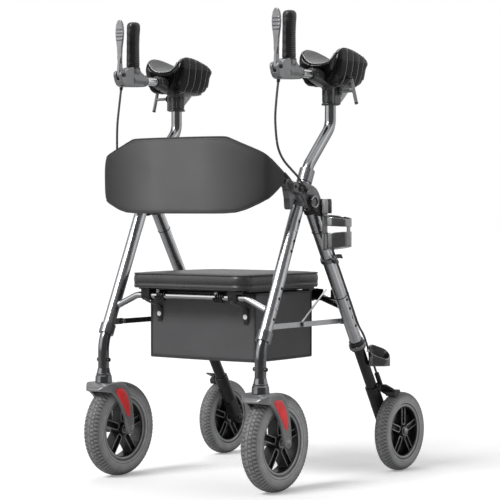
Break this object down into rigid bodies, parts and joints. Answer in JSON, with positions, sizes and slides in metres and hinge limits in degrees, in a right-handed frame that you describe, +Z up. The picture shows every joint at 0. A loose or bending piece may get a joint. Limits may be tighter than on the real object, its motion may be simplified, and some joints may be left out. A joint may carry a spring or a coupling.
{
  "type": "upright rollator walker",
  "caption": "Folding upright rollator with forearm troughs, vertical brake grips, flip-up seat, backrest band, soft basket, swivelling front wheels and cup and cane holders.",
  "frame": {"origin": "on the ground under the middle of the walker", "axes": "+Z up, the walker's front faces -Y, the user stands behind it at +Y, +X is the user's left"},
  "size_m": [0.6922, 0.7407, 1.186],
  "materials": {
    "tube": "satin anodised",
    "dark_tube": "satin",
    "collar": "fine grained",
    "black_plastic": "fine grained",
    "grey_plastic": "fine grained",
    "steel": "brushed",
    "black_steel": "semi gloss",
    "tyre": "treaded",
    "rim": "fine grained",
    "seat_cover": "grained, piped edge",
    "band_fabric": "fine weave",
    "basket_fabric": "coarse weave",
    "cable": "smooth",
    "soft_rubber": "ribbed"
  },
  "bodies": {
    "frame": {"front_leg_left": "tube", "front_leg_right": "tube", "front_collars": "collar", "top_bracket_left": "grey_plastic", "top_bracket_right": "grey_plastic", "frame_bolts": "steel", "front_seat_bar": "tube", "backrest_band": "band_fabric", "backrest_arms": "black_plastic", "seat_springs": "black_steel", "basket_tub": "basket_fabric", "basket_skirt": "basket_fabric", "upper_cables": "cable"},
    "seat": {"seat_pad": "seat_cover", "seat_board": "black_plastic"},
    "brace_front": {"brace_front_links": "black_steel"},
    "brace_rear": {"brace_rear_links": "black_steel"},
    "fold_rod": {"fold_rods": "steel"},
    "rear_frame": {"rear_leg_left": "tube", "rear_leg_right": "tube", "hinge_blocks": "black_plastic", "rear_collars": "black_plastic", "rear_seat_bar": "dark_tube", "cup_holder": "grey_plastic", "cane_holder": "black_plastic", "lower_cables": "cable"},
    "rear_lower_left": {"rear_lower_leg_left": "dark_tube", "wheel_bracket_left": "black_plastic"},
    "brake_arm_left": {"brake_arm_left": "steel"},
    "rear_wheel_left": {"rear_tyre_left": "tyre", "rear_rim_left": "rim"},
    "front_lower_left": {"front_lower_leg_left": "dark_tube"},
    "caster_left": {"fork_left": "grey_plastic"},
    "front_wheel_left": {"front_tyre_left": "tyre", "front_rim_left": "rim"},
    "post_left": {"handle_post_left": "tube", "arm_bracket_left": "grey_plastic", "arm_pad_left": "soft_rubber"},
    "lock_lever_left": {"lock_lever_left": "black_steel"},
    "arm_left": {"arm_tube_left": "tube", "grip_housing_left": "grey_plastic", "grip_left": "soft_rubber"},
    "brake_lever_left": {"brake_lever_left": "steel"},
    "rear_lower_right": {"rear_lower_leg_right": "dark_tube", "wheel_bracket_right": "black_plastic"},
    "brake_arm_right": {"brake_arm_right": "steel"},
    "rear_wheel_right": {"rear_tyre_right": "tyre", "rear_rim_right": "rim"},
    "front_lower_right": {"front_lower_leg_right": "dark_tube"},
    "caster_right": {"fork_right": "grey_plastic"},
    "front_wheel_right": {"front_tyre_right": "tyre", "front_rim_right": "rim"},
    "post_right": {"handle_post_right": "tube", "arm_bracket_right": "grey_plastic", "arm_pad_right": "soft_rubber"},
    "lock_lever_right": {"lock_lever_right": "black_steel"},
    "arm_right": {"arm_tube_right": "tube", "grip_housing_right": "grey_plastic", "grip_right": "soft_rubber"},
    "brake_lever_right": {"brake_lever_right": "steel"}
  },
  "joints": [
    {"name": "fold", "type": "hinge", "parent": "frame", "child": "rear_frame", "pos_m": [-0.0123, -0.128, 0.712], "axis": [-1, 0, 0], "range_deg": [0, 26], "deforming": ["basket_skirt"]},
    {"name": "seat_flip", "type": "hinge", "parent": "frame", "child": "seat", "pos_m": [-0.0123, -0.264, 0.474], "axis": [1, 0, 0], "range_deg": [0, 75], "stiffness_Nm_per_rad": 0.5, "springref_deg": -22.92},
    {"name": "brace_front_fold", "type": "hinge", "parent": "frame", "child": "brace_front", "pos_m": [-0.0123, -0.258, 0.404], "axis": [1, 0, 0], "range_deg": [0, 41.4]},
    {"name": "brace_rear_fold", "type": "hinge", "parent": "brace_front", "child": "brace_rear", "pos_m": [-0.0123, -0.098, 0.404], "axis": [1, 0, 0], "range_deg": [-113.8, 0]},
    {"name": "fold_rod_swing", "type": "hinge", "parent": "brace_front", "child": "fold_rod", "pos_m": [-0.0123, -0.098, 0.404], "axis": [1, 0, 0], "range_deg": [-116.6, 0]},
    {"name": "rear_height_left", "type": "slide", "parent": "rear_frame", "child": "rear_lower_left", "axis": [0, 0.521, -0.8536], "range_m": [0, 0.078]},
    {"name": "brake_shoe_left", "type": "hinge", "parent": "rear_lower_left", "child": "brake_arm_left", "pos_m": [0.2377, 0.197, 0.222], "axis": [-1, 0, 0], "range_deg": [0, 2.6]},
    {"name": "rear_wheel_spin_left", "type": "hinge", "parent": "rear_lower_left", "child": "rear_wheel_left", "pos_m": [0.2787, 0.26603, 0.104], "axis": [1, 0, 0], "continuous": true},
    {"name": "front_height_left", "type": "slide", "parent": "frame", "child": "front_lower_left", "axis": [0, -0.4131, -0.9107], "range_m": [0, 0.078]},
    {"name": "caster_swivel_left", "type": "hinge", "parent": "front_lower_left", "child": "caster_left", "pos_m": [0.2377, -0.30968, 0.25], "axis": [0, 0, 1], "continuous": true},
    {"name": "front_wheel_spin_left", "type": "hinge", "parent": "caster_left", "child": "front_wheel_left", "pos_m": [0.2377, -0.24868, 0.122], "axis": [1, 0, 0], "continuous": true},
    {"name": "post_height_left", "type": "slide", "parent": "frame", "child": "post_left", "axis": [0, 0.4131, 0.9107], "range_m": [0, 0.078]},
    {"name": "lock_lever_turn_left", "type": "hinge", "parent": "post_left", "child": "lock_lever_left", "pos_m": [0.2377, -0.006, 0.993], "axis": [1, 0, 0], "range_deg": [-90, 90]},
    {"name": "arm_reach_left", "type": "slide", "parent": "post_left", "child": "arm_left", "axis": [0, 1, 0], "range_m": [-0.04, 0.03]},
    {"name": "brake_lever_pull_left", "type": "hinge", "parent": "arm_left", "child": "brake_lever_left", "pos_m": [0.2377, -0.243, 1.043], "axis": [-1, 0, 0], "range_deg": [0, 8.5], "stiffness_Nm_per_rad": 10, "springref_deg": -4.58},
    {"name": "rear_height_right", "type": "slide", "parent": "rear_frame", "child": "rear_lower_right", "axis": [0, 0.521, -0.8536], "range_m": [0, 0.078]},
    {"name": "brake_shoe_right", "type": "hinge", "parent": "rear_lower_right", "child": "brake_arm_right", "pos_m": [-0.2623, 0.197, 0.222], "axis": [-1, 0, 0], "range_deg": [0, 2.6]},
    {"name": "rear_wheel_spin_right", "type": "hinge", "parent": "rear_lower_right", "child": "rear_wheel_right", "pos_m": [-0.3033, 0.26603, 0.104], "axis": [1, 0, 0], "continuous": true},
    {"name": "front_height_right", "type": "slide", "parent": "frame", "child": "front_lower_right", "axis": [0, -0.4131, -0.9107], "range_m": [0, 0.078]},
    {"name": "caster_swivel_right", "type": "hinge", "parent": "front_lower_right", "child": "caster_right", "pos_m": [-0.2623, -0.30968, 0.25], "axis": [0, 0, 1], "continuous": true},
    {"name": "front_wheel_spin_right", "type": "hinge", "parent": "caster_right", "child": "front_wheel_right", "pos_m": [-0.2623, -0.24868, 0.122], "axis": [1, 0, 0], "continuous": true},
    {"name": "post_height_right", "type": "slide", "parent": "frame", "child": "post_right", "axis": [0, 0.4131, 0.9107], "range_m": [0, 0.078]},
    {"name": "lock_lever_turn_right", "type": "hinge", "parent": "post_right", "child": "lock_lever_right", "pos_m": [-0.2623, -0.006, 0.993], "axis": [1, 0, 0], "range_deg": [-90, 90]},
    {"name": "arm_reach_right", "type": "slide", "parent": "post_right", "child": "arm_right", "axis": [0, 1, 0], "range_m": [-0.04, 0.03]},
    {"name": "brake_lever_pull_right", "type": "hinge", "parent": "arm_right", "child": "brake_lever_right", "pos_m": [-0.2623, -0.243, 1.043], "axis": [-1, 0, 0], "range_deg": [0, 8.5], "stiffness_Nm_per_rad": 10, "springref_deg": -4.58}
  ],
  "couplings": [
    {"joint": "brace_front_fold", "follows": "fold", "ratio": 1.569},
    {"joint": "brace_rear_fold", "follows": "fold", "ratio": -4.343},
    {"joint": "fold_rod_swing", "follows": "fold", "ratio": -4.45},
    {"joint": "brake_shoe_left", "follows": "brake_lever_pull_left", "ratio": 0.3},
    {"joint": "brake_shoe_right", "follows": "brake_lever_pull_right", "ratio": 0.3}
  ]
}
